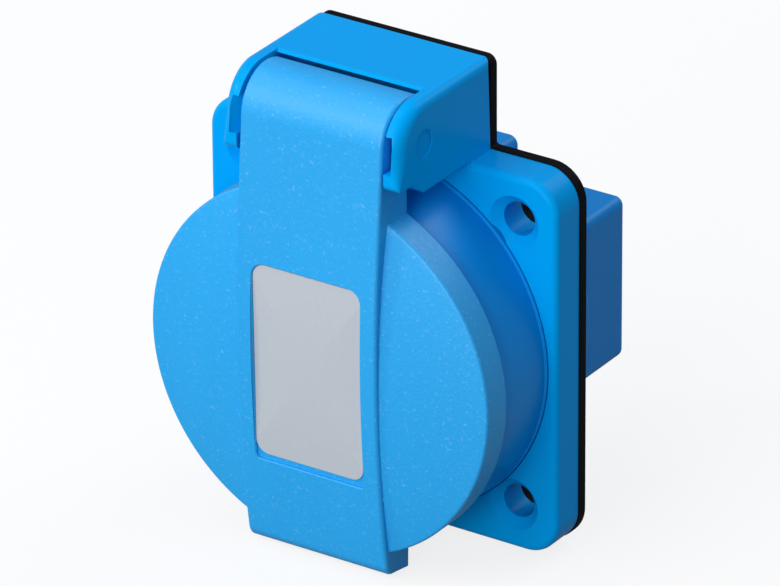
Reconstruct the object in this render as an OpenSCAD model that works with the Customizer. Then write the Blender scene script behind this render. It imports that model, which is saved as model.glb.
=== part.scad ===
// Panel-mount earthed two-pin mains socket with a hinged, spring-closed lid.
// X runs to the right as seen from the front, +Y runs into the panel and +Z is up.
// The origin is the centre of the four fixing holes on the panel's face.

/* [Flange] */
// Side of the square flange
flange_w = 50; // [49:0.5:58]
// Thickness of the flange
flange_t = 5; // [4:0.1:7]
// Radius of the flange's corners
flange_corner_r = 4.4; // [3:0.1:8]
// Rounding of the flange's front edge
flange_edge_r = 0.9; // [0.3:0.1:1.4]
// Spacing of the fixing holes, both ways
fixing_pitch = 38; // [36:0.5:41]
// Diameter of a fixing hole
fixing_hole_d = 4.4; // [3.4:0.1:5]
// Mouth of a fixing hole's countersink
fixing_sink_d = 6.8; // [6:0.1:8]
// Thickness of the ledge that the insert stands on
ledge_t = 2; // [1.2:0.1:3]

/* [Gasket] */
// Thickness of the gasket
gasket_t = 1.5; // [1:0.1:3]
// How far the gasket stands out round the flange
gasket_lip = 0.15; // [0:0.05:0.5]
// Distance of the gasket's top below the tower's roof
gasket_drop = 0.15; // [0:0.05:0.5]

/* [Hinge tower] */
// Width of the tower over its ears
tower_w = 25.2; // [23:0.2:30]
// Distance of the tower's underside below the hinge's axis
tower_drop = 6.4; // [6:0.1:6.8]
// Distance of the ears' underside below the hinge's axis
ear_drop = 4.6; // [4:0.1:5]
// Thickness of an ear
ear_t = 2.15; // [1.8:0.05:3]
// Radius of an ear's nose, seen from the side
ear_nose_r = 5.6; // [5:0.1:6.2]
// Rounding of the tower's upright front edges
ear_edge_r = 1.9; // [0.5:0.1:2]
// Rounding of the roof's side edges
roof_edge_r = 1.1; // [0.3:0.1:2]
// Chamfer on the roof's front edge
roof_chamfer = 1; // [0.3:0.1:1.2]
// Height of the slot in each ear
ear_slot_h = 4.7; // [3.6:0.1:6]
// Depth of the slot into an ear's inner side
ear_slot_d = 1; // [0.8:0.1:1.5]
// Wall left round the tower's core
tower_wall = 2.1; // [1.6:0.1:3]

/* [Hinge] */
// Height of the hinge's axis above the lid's edge
hinge_rise = 7.4; // [7:0.1:8.4]
// Diameter of the hinge pin
hinge_pin_d = 3; // [2:0.1:3.4]
// Radial play of the lid's eyes on the pin
hinge_play = 0.05; // [0.02:0.01:0.1]
// Radial gap of the pin in the ears
pin_seat_gap = 0.02; // [0.01:0.01:0.05]
// Gap between the lid's band and each ear
ear_gap = 0.35; // [0.25:0.05:0.6]
// Gap between the knuckle and the tower
bay_gap = 0.5; // [0.35:0.05:0.8]

/* [Insert] */
// Diameter of the collar at its foot
collar_d = 47.6; // [46:0.1:48]
// Distance of the collar's rim from the panel
collar_rim = 16.05; // [15:0.05:18]
// Draft of the collar, on the radius
collar_draft = 0.2; // [0:0.05:0.4]
// Thickness of the collar's wall
collar_wall = 2.1; // [1.6:0.1:2.4]
// Diameter of the plug well
well_d = 39; // [38.5:0.1:39.4]
// Depth of the plug well
well_depth = 17.4; // [16:0.1:18]
// Thickness of the well's floor
floor_t = 2.5; // [2.3:0.1:3.4]
// Diameter of the barrel that passes the panel
barrel_d = 42; // [41.4:0.1:42.6]
// Distance of the barrel's end behind the panel
barrel_end = 7.6; // [7:0.1:10]
// Radial gap between the insert and the flange's hole
insert_gap = 0.1; // [0.05:0.05:0.2]
// Width of the guide rib on each side of the well
guide_w = 4.8; // [3:0.1:6]
// Height of a guide rib above the well's wall
guide_h = 2.4; // [1:0.1:3]

/* [Lid] */
// Diameter of the lid
lid_d = 48.4; // [47:0.1:49]
// Thickness of the lid at its edge
lid_edge_t = 4.3; // [3.8:0.1:6]
// Rise of the domed face above the edge
lid_rise = 2.1; // [1:0.1:3]
// Rounding of the lid's front edge
lid_edge_r = 0.4; // [0.3:0.1:1.5]
// Wall of the lid and its band
lid_wall = 2.2; // [1.8:0.1:2.4]
// Gap between the closed lid and the collar's rim
lid_gap = 0.15; // [0.1:0.05:0.4]
// Height of the band's crown above the lid's face
band_proud = 0.65; // [0.4:0.05:1.2]
// Radius of the band's crown
band_r = 175; // [150:1:220]
// Height at which the band stands out most
band_apex_z = 3.4; // [0:0.1:5]
// Rounding of the band's long edges
band_edge_r = 0.6; // [0.2:0.1:1]
// How far the finger tab's front goes below the flange's lower edge
tab_reach = 0.2; // [-0.3:0.1:0.5]
// How far the tab's underside falls from its front to its back
tab_fall = 0.5; // [0.1:0.1:1.5]
// Radius of the tab's lower front edge
tab_edge_r = 1.9; // [0.5:0.1:2.5]
// Rounding of the tab's corners
tab_corner_r = 0.4; // [0.2:0.1:3]
// Outer radius of the knuckle
knuckle_r = 5.4; // [5:0.1:5.8]
// Where the knuckle's curl ends, past the top from the front, as an angle above the back
curl_end = 65; // [60:1:75]
// Thickness of the cheeks between the lid and its eyes
cheek_t = 2; // [1.5:0.1:3]

/* [Lid seal] */
// Width of the seal ring
seal_w = 1.8; // [1.2:0.1:2.2]
// Thickness of the seal ring
seal_t = 1.9; // [1.4:0.1:2.4]
// Gap between the seal and its groove
seal_gap = 0.1; // [0.05:0.05:0.2]

/* [Label] */
// Width of the label
label_w = 15.4; // [10:0.1:17]
// Height of the label
label_h = 25.6; // [15:0.1:26]
// Height of the label's middle
label_z = 0.55; // [-1:0.05:2]
// Radius of the label's corners
label_corner_r = 1.7; // [0.5:0.1:3]
// Thickness of the label
label_t = 0.2; // [0.1:0.05:0.4]
// Depth of the label's recess
recess_d = 0.6; // [0.3:0.05:0.8]
// Gap between the label and the sides of its recess
recess_gap = 0.2; // [0.1:0.05:0.6]
// Bare ledge of the recess below the label
recess_ledge = 0.75; // [0.3:0.05:2]
// Radius of the recess's lower corners
recess_corner_r = 0.5; // [0.2:0.1:2]

/* [Lid spring] */
// Diameter of the spring's wire
spring_wire_d = 0.8; // [0.5:0.05:0.9]
// Mean diameter of the spring's coil
spring_coil_d = 4.6; // [4.4:0.1:4.8]
// Turns of the coil
spring_turns = 7; // [4:1:9]
// Half the coil's length
spring_half = 5.2; // [4:0.1:5.6]

/* [Terminal block] */
// Half width of the terminal box
box_half_w = 17.57; // [16.5:0.01:17.8]
// Half height of the terminal box
box_half_h = 10.94; // [10.6:0.01:11.2]
// Rounding of the terminal box
box_edge_r = 1.2; // [0.5:0.1:2]
// Wall of the terminal box
box_wall = 1.3; // [1:0.1:1.8]
// Wall between the two chambers
divider_t = 2; // [1.2:0.1:3]
// Half width of the earth terminal's housing
earth_half_w = 5.9; // [5.5:0.1:6.2]
// Height of the earth terminal's housing
earth_top = 18.4; // [18:0.1:18.6]
// Distance of the earth housing's end behind the panel
earth_end = 15; // [12:0.1:17]
// Width of the wire notches in the underside
wire_notch_w = 4.6; // [3:0.1:5.5]
// Radial gap between the block and the barrel
block_gap = 0.1; // [0.05:0.05:0.2]

/* [Contacts] */
// Spacing of the plug's pins
pin_pitch = 19; // [18.6:0.1:19.4]
// Diameter of the plug's pins
plug_pin_d = 4.8; // [4:0.1:5]
// Length of the plug's pins
plug_pin_len = 19; // [18:0.1:20]
// Radial play of a plug pin in the floor's hole
plug_pin_play = 0.35; // [0.2:0.05:0.6]
// Thickness of the contact sleeves
sleeve_t = 0.7; // [0.5:0.05:0.9]
// Length of the contact sleeves
sleeve_len = 12; // [11:0.1:13]
// Thickness of the contacts' spring rings
grip_t = 0.5; // [0.3:0.05:0.6]
// Width of the contacts' spring rings
grip_w = 2.6; // [1.5:0.1:3]
// Width of the earth strap
strap_w = 5.6; // [4:0.1:6]
// Thickness of the earth strap
strap_t = 0.8; // [0.5:0.05:1]
// Distance of the strap's ends from the middle
strap_reach = 17.9; // [17.7:0.05:18.1]
// Distance of an earth clip's crest from the middle
clip_crest = 15.2; // [14.6:0.1:16.5]

/* [Terminals] */
// Thread diameter of the terminal screws
term_screw_d = 3.5; // [3:0.1:3.6]
// Diameter of the terminal screws' heads
term_head_d = 5.4; // [5:0.1:5.6]
// Height of the terminal screws' heads
term_head_h = 2; // [1.5:0.1:2.2]
// Thickness of the clamp plates
clamp_t = 1.2; // [0.8:0.1:1.4]
// Distance of the line terminals below the pins
term_drop = 6.4; // [6.2:0.1:6.6]
// Height of the posts that carry the line terminals, behind the barrel's end
term_post_h = 4.8; // [4.2:0.1:5.2]
// Distance of the earth terminal above the middle
earth_term_z = 14.1; // [13.9:0.1:14.3]
// Thread diameter of the block's fixing screws
block_screw_d = 2.5; // [2:0.1:2.9]
// Diameter of the block's fixing screws' heads
block_head_d = 4.8; // [4:0.1:5]
// Height of the block's fixing screws' heads
block_head_h = 1.8; // [1.2:0.1:2.2]
// Place of the block's fixing screws to each side
block_screw_x = 9; // [8.8:0.1:9.2]
// Place of the block's fixing screws above and below
block_screw_z = 13.7; // [13.5:0.1:13.8]

/* [Hidden] */
$fn = 96;

// Overlap that makes a cut pass cleanly through a face
over = 0.5;

// Planes along Y
flange_back = -gasket_t;
flange_front = flange_back - flange_t;
ledge_front = flange_back - ledge_t;
rim_y = -collar_rim;
lid_back = rim_y - lid_gap;
well_floor = rim_y + well_depth;
floor_back = well_floor + floor_t;
box_rear_wall = 0.6;
box_end = well_floor + plug_pin_len + box_rear_wall;

// Radii of the insert
collar_r = collar_d / 2;
well_r = well_d / 2;
barrel_r = barrel_d / 2;
seat_wall = 1.8;
seat_r = barrel_r - seat_wall;
barrel_step = 0.4;
rim_chamfer = 0.5;
guide_drop = 3;

// Snap lugs hold the insert in the flange, and a key stops it turning
lug_h = 0.45;
lug_land = 0.4;
lug_turn = 24;
lug_gap = 0.05;
key_half = 1.6;

// Hinge and tower
hinge_y = lid_back;
hinge_z = lid_d / 2 + hinge_rise;
tower_top = hinge_z + knuckle_r;
tower_bottom = hinge_z - tower_drop;
ear_bottom = hinge_z - ear_drop;
bay_half = tower_w / 2 - ear_t;
band_half = bay_half - ear_gap;
band_w = 2 * band_half;
bay_r = knuckle_r + bay_gap;
ear_front = hinge_y - ear_nose_r;
ear_ramp = 2.6;
ear_corner_r = 1;
ear_slot_run = 3.4;
ear_blind_wall = 0.8;
pin_chamfer = 0.2;
ear_mark_d = 3.6;
ear_mark_depth = 0.2;
spring_r = spring_coil_d / 2;
shelf_margin = 0.7;
shelf_half = spring_half + spring_wire_d / 2 + shelf_margin;
shelf_top = hinge_z - spring_r - spring_wire_d / 2;
shelf_setback = 0.5;
shelf_run = 1.6;
shelf_t = 0.8;
eye_gap = 0.3;
eye_inner = shelf_half + eye_gap;
tower_lip_min = 1.5;

// Lid
lid_r = lid_d / 2;
tab_drop = flange_w / 2 + tab_reach;
lid_edge_front = lid_back - lid_edge_t;
lid_face = lid_edge_front - lid_rise;
dome_r = (lid_r ^ 2 + lid_rise ^ 2) / (2 * lid_rise);
dome_y = lid_face + dome_r;
edge_y = dome_y - sqrt((dome_r - lid_edge_r) ^ 2 - (lid_r - lid_edge_r) ^ 2);
edge_tangent_r = (lid_r - lid_edge_r) * dome_r / (dome_r - lid_edge_r);
groove_wall = 2.7;
groove_out = lid_r - groove_wall;
groove_in = groove_out - seal_w - 2 * seal_gap;
groove_y = lid_back - seal_gap - seal_t;
seal_lip_t = 0.8;
seal_lip_drop = 0.8;

// The band's side outline at one depth: an arc about band_axis, a straight run, then the knuckle's arc
band_axis = [lid_face - band_proud + band_r, band_apex_z];
hinge_axis = [hinge_y, hinge_z];
band_to_hinge = hinge_axis - band_axis;
band_turn = atan2(band_to_hinge.y, band_to_hinge.x)
    + acos((band_r - knuckle_r) / norm(band_to_hinge));
band_out = [cos(band_turn), sin(band_turn)];
straight_to = hinge_axis + knuckle_r * band_out;
band_low_turn = 180 + asin((band_apex_z + tab_drop + over) / band_r);
crown_steps = 24;
knuckle_steps = 22;
curl_past = 8;
edge_steps = 3;
edge_share = 0.92;
edge_slope = 1 / tan(45 / edge_steps);
edge_turns = [for (i = [1:edge_steps - 1]) 90 * (1 - i / edge_steps)];
edge_corners = [for (turn = edge_turns) [sin(turn), 1 - cos(turn)]];
edge_past = 0.05;
cheek_depth = 1.3;
tab_front = band_axis.x - sqrt(band_r ^ 2 - (tab_drop + band_apex_z) ^ 2);
tab_tilt = atan2(tab_fall, lid_back - tab_front);
tab_turn = 90 - tab_tilt - asin((tab_drop + band_apex_z) / band_r);
tab_past = 0.3;
function arc(axis, r, from, to, steps) =
    [for (i = [0:steps]) let (turn = from + (to - from) * i / steps) axis + r * [cos(turn), sin(turn)]];
function band_line(depth, end) = concat(
    arc(band_axis, band_r - depth, band_low_turn, band_turn, crown_steps),
    arc(hinge_axis, knuckle_r - depth, band_turn, end, knuckle_steps)
);
eye_bite = 1.4;
eye_r = knuckle_r - lid_wall + eye_bite;
eyelet_play = 0.15;
eyelet_bore_d = spring_wire_d + 2 * eyelet_play;
eyelet_h = 2;
eyelet_top = hinge_z - knuckle_r;
eyelet_wall = 0.8;
spring_leg_y = hinge_y - spring_r;
spring_leg_end = eyelet_top - eyelet_h - eyelet_play;
spring_rest_run = 1.4;
spring_rest_end = hinge_y + spring_rest_run;

// The spring's centre line: a leg on the shelf, the coil, and a leg down to the lid's eyelet
coil_total = 360 * (spring_turns - 1) + 90;
coil_step = 30;
wire_sides = 6;
wire_side_way = [1, 0, 0.02];
function unit(v) = v / norm(v);
function coil_point(turn) =
    [-spring_half + 2 * spring_half * turn / coil_total,
     hinge_y - spring_r * sin(turn),
     hinge_z - spring_r * cos(turn)];
spring_path = concat(
    [[-spring_half, spring_rest_end, hinge_z - spring_r]],
    [for (turn = [0:coil_step:coil_total]) coil_point(turn)],
    [[spring_half, spring_leg_y, spring_leg_end]]
);

// Contacts and terminals
pin_x = pin_pitch / 2;
sleeve_r = plug_pin_d / 2;
sleeve_gap = 0.6;
sleeve_from = floor_back + sleeve_gap;
sleeve_to = sleeve_from + sleeve_len;
sleeve_out = sleeve_r + sleeve_t;
grip_gap = 0.02;
grip_out = sleeve_out + grip_gap + grip_t;
grip_setback = 0.8;
grip_from = sleeve_from + grip_setback;
sleeve_bore_gap = 0.3;
sleeve_bore_r = grip_out + sleeve_bore_gap;
sleeve_seam = 1.2;
sleeve_root = 2;
tab_y = barrel_end + term_post_h;
tab_back = tab_y + strap_t;
clamp_back = tab_back + clamp_t;
thread_gap = 0.02;
hole_gap = 0.2;
relief_gap = 0.35;
screw_reach = 5;
earth_back = floor_back + strap_t;
earth_clamp_back = earth_back + clamp_t;
earth_shank = 3.6;
earth_wall = 1.2;
chamber_half_h = box_half_h - box_wall;
clip_root = 1;
clip_setback = 8.5;
clip_y = rim_y + clip_setback;
clip_land = 1;
clip_flare = 4;
clamp_half_w = 3.3;
clamp_half_h = 2.7;
boss_d = 5;
boss_h = 1.8;
block_bite = 0.85;
block_screw_len = barrel_end - floor_back + block_bite;
screw_slot_w = 0.8;
screw_slot_d = 1;
screw_point = 0.4;
head_dome_share = 1 / 3;
block_places = [[-block_screw_x, block_screw_z], [block_screw_x, -block_screw_z]];

// Colours
blue = [0.12, 0.60, 0.92];
rubber = [0.10, 0.10, 0.11];
silver = [0.79, 0.80, 0.82];
steel = [0.66, 0.67, 0.69];
brass = [0.80, 0.65, 0.33];

// A flat shape in Y and Z, drawn out along X
module along_x(x0, x1) {
    rotate([90, 0, 90]) translate([0, 0, x0]) linear_extrude(x1 - x0) children();
}

// A flat shape in X and Z, drawn out along Y
module along_y(y0, y1) {
    rotate([90, 0, 0]) translate([0, 0, -y1]) linear_extrude(y1 - y0) children();
}

// A flat shape in X and Y, drawn out along Z
module along_z(z0, z1) {
    translate([0, 0, z0]) linear_extrude(z1 - z0) children();
}

// A profile of radius and Y, turned about the socket's axis
module about_y() {
    rotate([-90, 0, 0]) rotate_extrude() children();
}

module rod_x(d, x0, x1, axis) {
    translate([x0, axis.x, axis.y]) rotate([0, 90, 0]) cylinder(h = x1 - x0, d = d);
}

module rod_y(d, y0, y1, place = [0, 0]) {
    translate([place.x, y0, place.y]) rotate([-90, 0, 0]) cylinder(h = y1 - y0, d = d);
}

module rod_z(d, z0, z1, place) {
    translate([place.x, place.y, z0]) cylinder(h = z1 - z0, d = d);
}

module block(lo, hi) {
    translate(lo) cube(hi - lo);
}

// A rectangle with its own radius at each corner, from the lower left one round to the left
module round_rect(lo, hi, radii) {
    corners = [lo, [hi.x, lo.y], hi, [lo.x, hi.y]];
    inward = [[1, 1], [-1, 1], [-1, -1], [1, -1]];
    difference() {
        translate(lo) square(hi - lo);
        for (i = [0:3])
            if (radii[i] > 0)
                translate(corners[i] + inward[i] * radii[i] / 2) square(radii[i], center = true);
    }
    for (i = [0:3])
        if (radii[i] > 0)
            translate(corners[i] + inward[i] * radii[i]) circle(radii[i]);
}

// A closed skin over a row of rings that have equally many points
module skin(rings) {
    count = len(rings[0]);
    last = len(rings) - 1;
    walls = [
        for (i = [0:last - 1])
            for (k = [0:count - 1])
                [i * count + k, i * count + (k + 1) % count,
                 (i + 1) * count + (k + 1) % count, (i + 1) * count + k]
    ];
    ends = [[for (k = [0:count - 1]) count - 1 - k], [for (k = [0:count - 1]) last * count + k]];
    polyhedron([for (ring = rings) each ring], concat(ends, walls));
}

// Places a thing at all four fixing holes
module at_fixings() {
    for (x = [-1, 1])
        for (z = [-1, 1])
            translate([x, 0, z] * fixing_pitch / 2) children();
}

// The outline that the gasket shares with the flange and the tower, in X and Z
module panel_outline(lip) {
    half = flange_w / 2 + lip;
    tower_half = tower_w / 2 + lip;
    corner = flange_corner_r + lip;
    roof = roof_edge_r + lip;
    round_rect([-half, -half], [half, half], [corner, corner, corner, corner]);
    round_rect([-tower_half, 0], [tower_half, tower_top - gasket_drop], [0, 0, roof, roof]);
}

module flange_plate() {
    half = flange_w / 2;
    e = flange_edge_r;
    intersection() {
        along_y(flange_front, flange_back)
            round_rect([-half, -half], [half, half], [for (i = [0:3]) flange_corner_r]);
        along_x(-half, half) round_rect([flange_front, -half], [flange_back, half], [e, 0, 0, e]);
        along_z(-half, half) round_rect([-half, flange_front], [half, flange_back], [e, e, 0, 0]);
    }
}

// The tower's side view: a block on the flange with two nosed ears in front
module tower_side() {
    translate([hinge_y, tower_bottom]) square([flange_back - hinge_y, tower_top - tower_bottom]);
    translate([flange_front, flange_w / 2 - flange_corner_r])
        square([flange_t, tower_top - flange_w / 2]);
    polygon([[hinge_y, tower_bottom], [hinge_y, ear_bottom], [hinge_y - ear_ramp, ear_bottom]]);
    round_rect([ear_front, ear_bottom], [hinge_y, tower_top], [ear_corner_r, 0, 0, ear_nose_r]);
}

// The room in which the lid's knuckle turns, seen from the side
module bay_side() {
    front = ear_front - over;
    lip_drop = hinge_z - tower_bottom - tower_lip_min;
    lip_y = hinge_y + sqrt(bay_r ^ 2 - lip_drop ^ 2);
    translate(hinge_axis) circle(bay_r);
    translate([front, tower_bottom - over])
        square([hinge_y - front, tower_top - tower_bottom + 2 * over]);
    translate([front, tower_bottom - over]) square([lip_y - front, hinge_z - tower_bottom + over]);
    translate([hinge_y + sqrt(bay_r ^ 2 - (tower_top - hinge_z) ^ 2), tower_top])
        rotate(45) square(2 * roof_chamfer / sqrt(2), center = true);
}

module tower() {
    half = tower_w / 2;
    low = flange_w / 2 - flange_corner_r;
    n = ear_edge_r;
    difference() {
        intersection() {
            along_x(-half, half) tower_side();
            along_y(ear_front, flange_back)
                round_rect([-half, low], [half, tower_top], [0, 0, roof_edge_r, roof_edge_r]);
            along_z(low, tower_top) round_rect([-half, ear_front], [half, flange_back], [n, n, 0, 0]);
        }
        along_x(-bay_half, bay_half) bay_side();
    }
    // Bracket that the lid's spring bears on and that stops the open lid
    block([-shelf_half, hinge_y + shelf_setback, tower_bottom],
        [shelf_half, flange_front, tower_bottom + shelf_t]);
    block([-shelf_half, hinge_y + shelf_setback, tower_bottom],
        [shelf_half, hinge_y + shelf_run, shelf_top]);
}

module tower_cuts() {
    half = tower_w / 2;
    pin_hole_d = hinge_pin_d + 2 * pin_seat_gap;
    slot_z = [hinge_z - ear_slot_h / 2, hinge_z + ear_slot_h / 2];
    core_half = half - tower_wall;
    core_from = hinge_y + bay_r + tower_wall;
    block([-core_half, core_from, tower_bottom + tower_wall],
        [core_half, flange_back + over, tower_top - tower_wall]);
    for (side = [0, 1])
        mirror([side, 0, 0])
            block([bay_half - over, ear_front - over, slot_z[0]],
                [bay_half + ear_slot_d, ear_front + ear_slot_run, slot_z[1]]);
    rod_x(pin_hole_d, -half - over, half - ear_blind_wall, hinge_axis);
    rod_x(ear_mark_d, half - ear_mark_depth, half + over, hinge_axis);
}

module flange_frame() {
    color(blue) difference() {
        union() {
            flange_plate();
            tower();
        }
        tower_cuts();
        rod_y(2 * (collar_r + insert_gap), flange_front - over, ledge_front);
        rod_y(2 * (barrel_r + insert_gap), ledge_front - over, flange_back + over);
        at_fixings() {
            rod_y(fixing_hole_d, flange_front - over, flange_back + over);
            translate([0, flange_front, 0]) rotate([-90, 0, 0])
                cylinder(h = (fixing_sink_d - fixing_hole_d) / 2, d1 = fixing_sink_d, d2 = fixing_hole_d);
        }
        block([-key_half - insert_gap, ledge_front - over, -collar_r + collar_wall - insert_gap],
            [key_half + insert_gap, flange_back + over, 0]);
    }
}

module flange_gasket() {
    color(rubber) difference() {
        along_y(flange_back, 0) panel_outline(gasket_lip);
        rod_y(2 * (barrel_r + lug_h + insert_gap), flange_back - over, over);
        at_fixings() rod_y(fixing_hole_d, flange_back - over, over);
    }
}

module insert_profile() {
    core_r = collar_r - collar_wall;
    inner_r = barrel_r - barrel_step;
    core_y = rim_y + collar_wall;
    rim_r = collar_r - collar_draft;
    c = rim_chamfer;
    polygon([
        [collar_r, ledge_front], [rim_r, rim_y + c], [rim_r - c, rim_y], [well_r + c, rim_y],
        [well_r, rim_y + c], [well_r, well_floor], [0, well_floor], [0, floor_back],
        [seat_r, floor_back], [seat_r, barrel_end], [barrel_r - c, barrel_end],
        [barrel_r, barrel_end - c], [barrel_r, 0], [inner_r, 0], [inner_r, core_y],
        [core_r, core_y], [core_r, ledge_front]
    ]);
}

module snap_lugs() {
    from = flange_back + lug_gap;
    foot_r = barrel_r - 2 * barrel_step;
    for (turn = [45:90:315])
        rotate([0, turn, 0]) rotate([-90, 0, 0]) rotate([0, 0, -lug_turn / 2])
            rotate_extrude(angle = lug_turn)
                polygon([
                    [foot_r, from], [barrel_r + lug_h, from], [barrel_r + lug_h, from + lug_land],
                    [barrel_r - barrel_step, -barrel_step], [foot_r, -barrel_step]
                ]);
}

// A slot in the floor for each end of the earth strap
module strap_slots() {
    gap = relief_gap;
    for (side = [0, 1])
        mirror([0, 0, side])
            block([-strap_w / 2 - gap, well_floor - over, strap_reach - strap_t / 2 - gap],
                [strap_w / 2 + gap, floor_back + over, strap_reach + strap_t / 2 + gap]);
}

module socket_insert() {
    hole_d = plug_pin_d + 2 * plug_pin_play;
    guide_from = rim_y + guide_drop;
    color(blue) difference() {
        union() {
            about_y() insert_profile();
            snap_lugs();
            for (side = [0, 1])
                mirror([side, 0, 0])
                    block([well_r - guide_h, guide_from, -guide_w / 2],
                        [well_r + over, well_floor + over, guide_w / 2]);
            for (place = block_places) rod_y(boss_d, well_floor + over, floor_back + boss_h, place);
            block([-key_half, ledge_front - over, -collar_r + collar_wall],
                [key_half, flange_back, -barrel_r + 2 * barrel_step]);
        }
        for (x = [-pin_x, pin_x]) {
            rod_y(hole_d, well_floor - over, floor_back + over, [x, 0]);
            translate([x, well_floor, 0]) rotate([-90, 0, 0])
                cylinder(h = rim_chamfer, d1 = hole_d + 2 * rim_chamfer, d2 = hole_d);
        }
        strap_slots();
        rod_y(term_screw_d + 2 * relief_gap, earth_clamp_back - earth_shank - relief_gap,
            floor_back + over, [0, earth_term_z]);
        for (place = block_places)
            rod_y(block_screw_d + 2 * thread_gap, barrel_end - block_screw_len - relief_gap,
                floor_back + boss_h + over, place);
    }
}

// The band over the crown, up the straight run and round the knuckle
module band() {
    outer = band_line(0, curl_end);
    inner = band_line(lid_wall, curl_end);
    last = len(inner) - 1;
    along_x(-band_half, band_half) polygon(concat(outer, [for (i = [0:last]) inner[last - i]]));
}

// A cutter that rounds the band's right edge in flat steps along its whole length
module band_rounding() {
    r = min(band_edge_r, band_proud * edge_share);
    section = concat(
        [[band_half - r - over * edge_slope, -over], [band_half + edge_past, -over]],
        [[band_half + edge_past, r + edge_past * edge_slope]],
        [for (corner = edge_corners) [band_half - r, 0] + r * corner]
    );
    lines = [for (corner = section) band_line(corner.y, curl_end - curl_past)];
    skin([
        for (i = [0:len(lines[0]) - 1])
            [for (k = [0:len(section) - 1]) [section[k].x, lines[k][i].x, lines[k][i].y]]
    ]);
}

// The full-depth finger tab below the lid's edge
module finger_tab() {
    intersection() {
        block([-band_half, lid_face - band_proud, -tab_drop - tab_fall - over],
            [band_half, lid_back, -lid_r + 2 * lid_wall]);
        rod_x(2 * (band_r - band_edge_r), -band_half, band_half, band_axis);
    }
}

// Puts a child's origin on the tab's lower front edge, with its y axis along the sloping underside
module at_tab() {
    translate([0, tab_front, -tab_drop]) rotate([-tab_tilt, 0, 0]) children();
}

// A cutter below the tab's sloping underside that rounds its corners in flat steps
module tab_underside() {
    r = tab_corner_r;
    right = concat(
        [[band_half + edge_past, -lid_r], [band_half + edge_past, r + edge_past * edge_slope]],
        [for (corner = edge_corners) [band_half - r, 0] + r * corner],
        [[band_half - r, 0]]
    );
    last = len(right) - 1;
    left = [for (i = [0:last]) [-right[last - i].x, right[last - i].y]];
    at_tab() along_y(-lid_r, lid_r) polygon(concat(right, left));
}

// A cutter that rounds the tab's lower front edge in flat steps
module tab_rounding() {
    n = edge_steps;
    centre = tab_edge_r * [tan(tab_turn / 2), 1];
    line = arc(centre, tab_edge_r, -90, -90 - tab_turn, n);
    under = line[0] + tab_past * (line[0] - line[1]);
    front = line[n] + tab_past * (line[n] - line[n - 1]);
    outside = [[front.x - tab_edge_r, front.y], [front.x - tab_edge_r, -tab_edge_r], [under.x, -tab_edge_r]];
    at_tab() along_x(-band_w, band_w) polygon(concat([under], line, [front], outside));
}

// The lid's outside: a domed disc with a rounded front edge
module lid_disc() {
    about_y() {
        intersection() {
            translate([0, dome_y]) circle(dome_r, $fn = 360);
            translate([0, lid_face - over]) square([edge_tangent_r, lid_back - lid_face + over]);
        }
        translate([0, edge_y]) square([lid_r, lid_back - edge_y]);
        translate([lid_r - lid_edge_r, edge_y]) circle(lid_edge_r);
    }
}

// The lid's inside: the hollow under the dome, and the seal's groove behind a low lip
module lid_hollow() {
    lip_in = groove_in - seal_lip_t;
    about_y() {
        intersection() {
            translate([0, dome_y]) circle(dome_r - lid_wall, $fn = 360);
            translate([0, lid_face]) square([lip_in, lid_back - lid_face + over]);
        }
        translate([groove_in, groove_y]) square([groove_out - groove_in, lid_back - groove_y + over]);
        translate([lip_in - over, lid_back - seal_lip_drop])
            square([groove_out - lip_in, seal_lip_drop + over]);
    }
}

// The outline of the label, or of its recess with a gap and a ledge below
module label_outline(gap, ledge, low_r) {
    half = label_w / 2 + gap;
    r = label_corner_r + gap;
    round_rect([-half, label_z - label_h / 2 - gap - ledge], [half, label_z + label_h / 2 + gap],
        [low_r, low_r, r, r]);
}

// Everything of the band's crown from one depth below its face outwards
module crown_skin(depth) {
    difference() {
        along_y(lid_face - band_proud - over, lid_back) children();
        rod_x(2 * (band_r - depth), -band_w, band_w, band_axis);
    }
}

// Two eyes that run on the hinge pin
module lid_eyes() {
    for (side = [0, 1])
        mirror([side, 0, 0]) rod_x(2 * eye_r, eye_inner, band_half, hinge_axis);
}

// Cheeks that join the lid's back to its eyes, along both sides of the band
module lid_cheeks() {
    low = band_axis + (band_r - cheek_depth) * band_out;
    high = hinge_axis + (knuckle_r - cheek_depth) * band_out;
    for (side = [0, 1])
        mirror([side, 0, 0]) along_x(band_half - cheek_t, band_half)
            polygon([low, [lid_back, lid_r - groove_wall], [lid_back, hinge_z], high]);
}

// The eyelet that takes the spring's moving leg
module spring_eyelet() {
    reach = eyelet_bore_d / 2 + eyelet_wall;
    block([spring_half - reach, straight_to.x + lid_wall / 2, eyelet_top - eyelet_h],
        [spring_half + reach, spring_leg_y + reach, eyelet_top]);
}

module lid() {
    color(blue) difference() {
        union() {
            lid_disc();
            band();
            finger_tab();
            lid_eyes();
            lid_cheeks();
            spring_eyelet();
        }
        tab_underside();
        tab_rounding();
        lid_hollow();
        for (side = [0, 1]) mirror([side, 0, 0]) band_rounding();
        crown_skin(recess_d) label_outline(recess_gap, recess_ledge, recess_corner_r);
        rod_x(hinge_pin_d + 2 * hinge_play, -tower_w, tower_w, hinge_axis);
        rod_z(eyelet_bore_d, eyelet_top - eyelet_h - over, eyelet_top + over, [spring_half, spring_leg_y]);
    }
}

module lid_seal() {
    color(rubber) about_y()
        translate([groove_in + seal_gap, groove_y]) square([seal_w, seal_t]);
}

module rating_label() {
    color(silver) intersection() {
        crown_skin(recess_d) label_outline(0, 0, label_corner_r);
        rod_x(2 * (band_r - recess_d + label_t), -band_w, band_w, band_axis);
    }
}

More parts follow.
